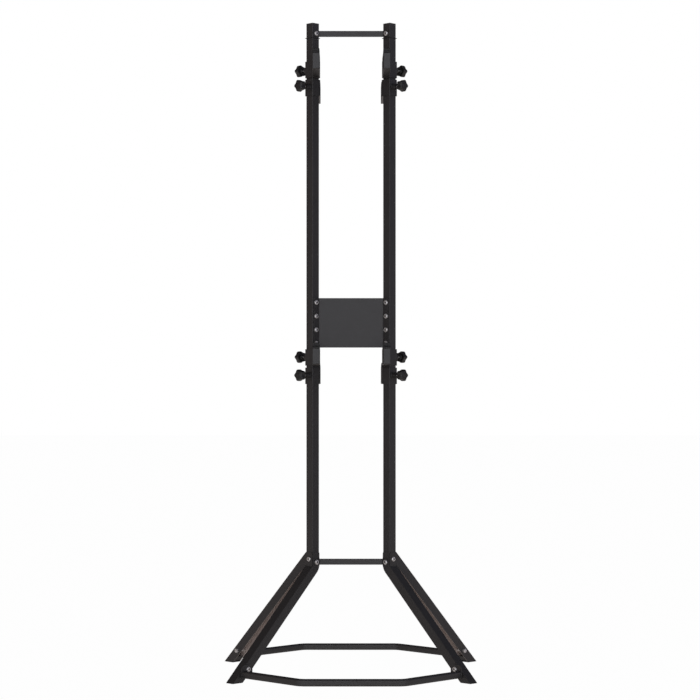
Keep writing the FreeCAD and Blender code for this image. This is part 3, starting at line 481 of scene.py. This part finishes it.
def pad(level, side, face):
    nm = "%s_%s_%s" % (level, side, face)
    m, k = arm_frame(level, side, face)
    n = len(PAD_OUTLINE)
    # inward normals of the outline, for rounded flanks
    normals = []
    for i in range(n):
        a, b = PAD_OUTLINE[i - 1], PAD_OUTLINE[(i + 1) % n]
        t = (b - a).normalized()
        normals.append(Vector((-t.y, t.x, 0.0)))
    half = 11.9
    rings = []
    flank = ((0.0, 1.0), (0.12, 0.62), (0.42, 0.26), (0.95, 0.0))
    cross = [(-half + x, i) for x, i in flank] + [(-half * 0.5, 0.0), (0.0, 0.0), (half * 0.5, 0.0)]
    cross += [(half - x, i) for x, i in reversed(flank)]
    for x, inset in cross:
        ring = []
        for p, q in zip(PAD_OUTLINE, normals):
            s = p + q * (inset if p.y > 0.6 else 0.0)
            # the stop narrows a little towards its top
            slim = 1.0 - 0.17 * min(1.0, max(0.0, (s.y - 11.0) / 9.0)) ** 1.6
            ring.append(m @ Vector((k * ARM_SHIFT + x * slim, s.x, ARM_HIGH + max(0.0, s.y))))
        rings.append(ring)
    verts, faces = [], []
    for r in rings:
        verts.extend(r)
    for i in range(len(rings) - 1):
        for j in range(n):
            a, b = i * n + j, i * n + (j + 1) % n
            faces.append((a, a + n, b + n, b))
    faces.append(tuple(range(n)))
    o = (len(rings) - 1) * n
    faces.append(tuple(o + j for j in reversed(range(n))))
    make_mesh(nm + "_rubber_pad", verts, faces, "cradle_rubber", nm + "_slider", nm + "_cradle_pad", sharp=40.0)


# ---------------------------------------------------------------- weld beads
def wobble(i, seed):
    return math.sin(i * 12.9898 + seed * 78.233) * 0.5 + math.sin(i * 4.1414 + seed * 19.19) * 0.5


def bead(name, path, radius, body, closed=False, seed=1.0):
    """A rippled bead along a path in the row frame (millimetres)."""
    pts = []
    pitch = 2.3
    step = pitch / 4.0
    segs = list(zip(path, path[1:] + (path[:1] if closed else [])))
    if not closed:
        segs = segs[: len(path) - 1]
    run = 0.0
    for a, b in segs:
        d = b - a
        n = max(1, int(round(d.length / step)))
        for i in range(n):
            pts.append((a + d * (i / n), d.normalized(), run + d.length * i / n))
        run += d.length
    if not closed:
        a, b = segs[-1]
        pts.append((b, (b - a).normalized(), run))
    rings = []
    sides = 10
    for i, (p, t, s) in enumerate(pts):
        up = Vector((0, 0, 1)) if abs(t.z) < 0.9 else Vector((1, 0, 0))
        e1 = t.cross(up).normalized()
        e2 = t.cross(e1).normalized()
        ph = 2.0 * math.pi * s / pitch
        r = radius * (1.0 + 0.10 * math.cos(ph) + 0.05 * wobble(int(s / pitch), seed))
        if not closed:
            end = min(s, run - s)
            r *= 0.45 + 0.55 * min(1.0, end / 2.0)
        lean = t * (0.35 * radius * 0.5)
        ring = []
        for j in range(sides):
            a = 2.0 * math.pi * j / sides
            ring.append(p + e1 * (r * math.cos(a)) + e2 * (r * math.sin(a)) + lean * math.cos(a))
        rings.append(ring)
    if closed:
        rings.append(rings[0])
        verts, faces = loft(rings, False, False)
    else:
        verts, faces = loft(rings)
    return make_mesh(name, verts, faces, "powder_coat", body, sharp=70.0)


def arm_welds(level, side, face):
    nm = "%s_%s_%s" % (level, side, face)
    m, k = arm_frame(level, side, face)
    # the arm's two flanks meet the collar's 45 degree face in vertical seams
    near, far = ARM_SHIFT - ARM_WIDTH / 2.0, ARM_SHIFT + ARM_WIDTH / 2.0
    reach = COLLAR_HALF / HALF

    def seam(x, z):
        return m @ Vector((k * x, x - reach, z))

    body = nm + "_slider"
    bead(nm + "_weld_near", [seam(near, ARM_LOW + 1.0), seam(near, ARM_HIGH - 0.5)], 1.3, body, seed=1.3)
    bead(nm + "_weld_far", [seam(far - 1.0, ARM_LOW + 1.0), seam(far - 1.0, ARM_HIGH - 0.5)], 1.1, body, seed=2.1)
    bead(nm + "_weld_under", [seam(near + 0.5, ARM_LOW), seam(far - 1.4, ARM_LOW)], 1.4, body, seed=3.7)
    # ring around the boss
    axis = Vector((-k * HALF, HALF, 0.0))
    across = Vector((-k * HALF, -HALF, 0.0))
    c = axis * COLLAR_HALF + Vector((0.0, 0.0, KNOB_UP))
    ring = []
    for j in range(28):
        t = 2.0 * math.pi * j / 28
        ring.append(m @ (c + across * (BOSS * math.cos(t)) + Vector((0.0, 0.0, BOSS * math.sin(t)))))
    bead(nm + "_weld_boss", ring, 1.3, body, closed=True, seed=4.9)


def bar_welds(which):
    sy = -1.0 if which == "front" else 1.0
    along = 326.0 if which == "front" else 374.0
    face = 19.95
    ex = POST_X + along * HALF - face * HALF
    ey = along * HALF + face * HALF
    for side, sx in (("left", -1.0), ("right", 1.0)):
        u = Vector((sx * HALF, sy * HALF, 0.0))
        c = Vector((sx * ex, POST_Y + sy * ey, 26.0))
        ring = []
        for cx, cz, a0 in ((6.0, 6.0, 0.0), (-6.0, 6.0, 90.0), (-6.0, -6.0, 180.0), (6.0, -6.0, 270.0)):
            for s in range(4):
                t = math.radians(a0 + 30.0 * s)
                ring.append(c + u * (cx + 5.0 * math.cos(t)) + Vector((0.0, 0.0, cz + 5.0 * math.sin(t))))
        bead("%s_%s_bar_weld" % (which, side), ring, 1.6, "frame", closed=True, seed=5.3)


# ---------------------------------------------------------------- hex socket linings of the bolts: painted shade
def socket_seats():
    """Seat under each bolt head and the direction the head points, for all the bolts."""
    out = []
    for sx in (-1.0, 1.0):
        post = Vector((POST_X * sx, POST_Y, 0.0))
        inner, outer = Vector((-sx * HALF, -HALF, 0.0)), Vector((sx * HALF, -HALF, 0.0))
        up = Vector((0.0, 0.0, 1.0))
        out.append((post + inner * 17.0 + up * 2128.5, inner))
        out.extend((post + inner * 17.0 + up * (1097.0 + 45.3 * i), inner) for i in range(4))
        out.append((post + inner * 18.95 + up * 369.0, inner))
        out.append((post + outer * 16.9 + up * 379.0, outer))
        for sy, along, high in ((-1.0, 309.0, 42.4), (1.0, 353.7, 43.3)):
            u, n = Vector((sx * HALF, sy * HALF, 0.0)), Vector((-sx * HALF, sy * HALF, 0.0))
            out.append((post + u * along + n * 19.95 + up * high, n))
    return out


def socket_shade_linings():
    """Chamfered lining of each hex socket, just clear of the metal, with a drill point, coloured near-black as painted
    shade in the recess.
    """
    verts, faces = [], []
    rows = ((4.36, 3.14), (4.05, 3.08), (2.30, 3.06), (1.92, 2.85), (1.88, 2.2), (1.86, 0.9))
    for seat, n in socket_seats():
        q = Vector((0.0, 0.0, 1.0)).rotation_difference(n)
        first = len(verts)
        for h, r in rows:
            for j in range(6):
                t = math.radians(60.0 * j)
                verts.append(seat + q @ Vector((r * math.cos(t), r * math.sin(t), h)))
        for i in range(len(rows) - 1):
            for j in range(6):
                a, b = first + i * 6 + j, first + i * 6 + (j + 1) % 6
                faces.append((a, a + 6, b + 6, b))
        verts.append(seat + n * 1.84)
        o = first + (len(rows) - 1) * 6
        faces.extend((len(verts) - 1, o + (j + 1) % 6, o + j) for j in range(6))
    obj = make_mesh("bolt_socket_painted_shade", verts, faces, "zinc_fastener", "frame", sharp=30.0)
    obj.material_slots[0].link = "OBJECT"
    # near-black zinc: painted shade inside each socket
    obj.material_slots[0].material = zinc("zinc_socket_painted_shade", 0.09)


socket_shade_linings()

for level in ("upper", "lower"):
    for side in ("left", "right"):
        for face in ("front", "rear"):
            knob(level, side, face)
            pad(level, side, face)
            arm_welds(level, side, face)
bar_welds("front")
bar_welds("rear")

# ---------------------------------------------------------------- stage and light
def floor_plane(name, z, pale, glow, lit=None):
    me = bpy.data.meshes.new(name)
    r = 40.0
    me.from_pydata([(-r, -r, 0.0), (r, -r, 0.0), (r, r, 0.0), (-r, r, 0.0)], [], [(0, 1, 2, 3)])
    obj = bpy.data.objects.new(name, me)
    scene.collection.objects.link(obj)
    obj.location.z = z
    mat, nt, bsdf = new_material(name)
    v = place_coords(nt)
    nt.links.new(ramp(nt, noise(nt, v, 2.0, 2.0, 0.5), [(0.3, pale), (0.7, tuple(0.98 * c for c in pale))]), bsdf.inputs["Base Color"])
    bsdf.inputs["Roughness"].default_value = 0.9
    bsdf.inputs["Specular IOR Level"].default_value = 0.0
    bsdf.inputs["Emission Color"].default_value = (*(lit or pale), 1.0)
    bsdf.inputs["Emission Strength"].default_value = glow
    me.materials.append(mat)
    return obj


# the floor that is looked at is an even white, no brighter than the backdrop, so that thin edges don't bloom;
# the one that throws light back is dimmer and warmer
seen = floor_plane("floor_white", -0.0004, (0.02, 0.02, 0.02), 1.0, (0.985, 0.985, 0.985))
seen.visible_diffuse = seen.visible_glossy = seen.visible_transmission = seen.visible_shadow = False
bounce = floor_plane("floor_bounce", -0.0010, (0.74, 0.685, 0.65), 0.56)
bounce.visible_camera = False

world = bpy.data.worlds.new("studio")
scene.world = world
world.use_nodes = True
wt = world.node_tree
wt.nodes.clear()
w_out = wt.nodes.new("ShaderNodeOutputWorld")
tc = wt.nodes.new("ShaderNodeTexCoord")
sep = wt.nodes.new("ShaderNodeSeparateXYZ")
wt.links.new(tc.outputs["Generated"], sep.inputs[0])
x, y, z = sep.outputs["X"], sep.outputs["Y"], sep.outputs["Z"]


def smooth(fac, lo, hi):
    m = wt.nodes.new("ShaderNodeMapRange")
    m.interpolation_type = "SMOOTHSTEP"
    m.inputs["From Min"].default_value = lo
    m.inputs["From Max"].default_value = hi
    wt.links.new(fac, m.inputs["Value"])
    return m.outputs["Result"]


# a large soft light from the front, dim flanks (warm left, cool right), dim top and back
sides = mixed(wt, smooth(x, -0.3, 0.3), (0.20, 0.155, 0.145), (0.205, 0.200, 0.275))
sky = mixed(wt, smooth(y, 0.45, 0.90), sides, (0.035, 0.035, 0.036))
sky = mixed(wt, smooth(z, 0.35, 0.90), sky, (0.10, 0.10, 0.102))
front = maths(wt, "MULTIPLY", smooth(maths(wt, "MULTIPLY", y, -1.0), 0.30, 0.80), maths(wt, "SUBTRACT", 1.0, smooth(z, 0.06, 0.50)))
sky = mixed(wt, front, sky, (2.40, 2.44, 2.60))
bg = wt.nodes.new("ShaderNodeBackground")
wt.links.new(sky, bg.inputs["Color"])
bg.inputs["Strength"].default_value = 1.0
white = wt.nodes.new("ShaderNodeBackground")
white.inputs["Color"].default_value = (1.0, 1.0, 1.0, 1.0)
lp = wt.nodes.new("ShaderNodeLightPath")
pick = wt.nodes.new("ShaderNodeMixShader")
wt.links.new(lp.outputs["Is Camera Ray"], pick.inputs["Fac"])
wt.links.new(bg.outputs["Background"], pick.inputs[1])
wt.links.new(white.outputs["Background"], pick.inputs[2])
wt.links.new(pick.outputs["Shader"], w_out.inputs["Surface"])

scene.view_settings.view_transform = "Standard"
scene.view_settings.look = "None"
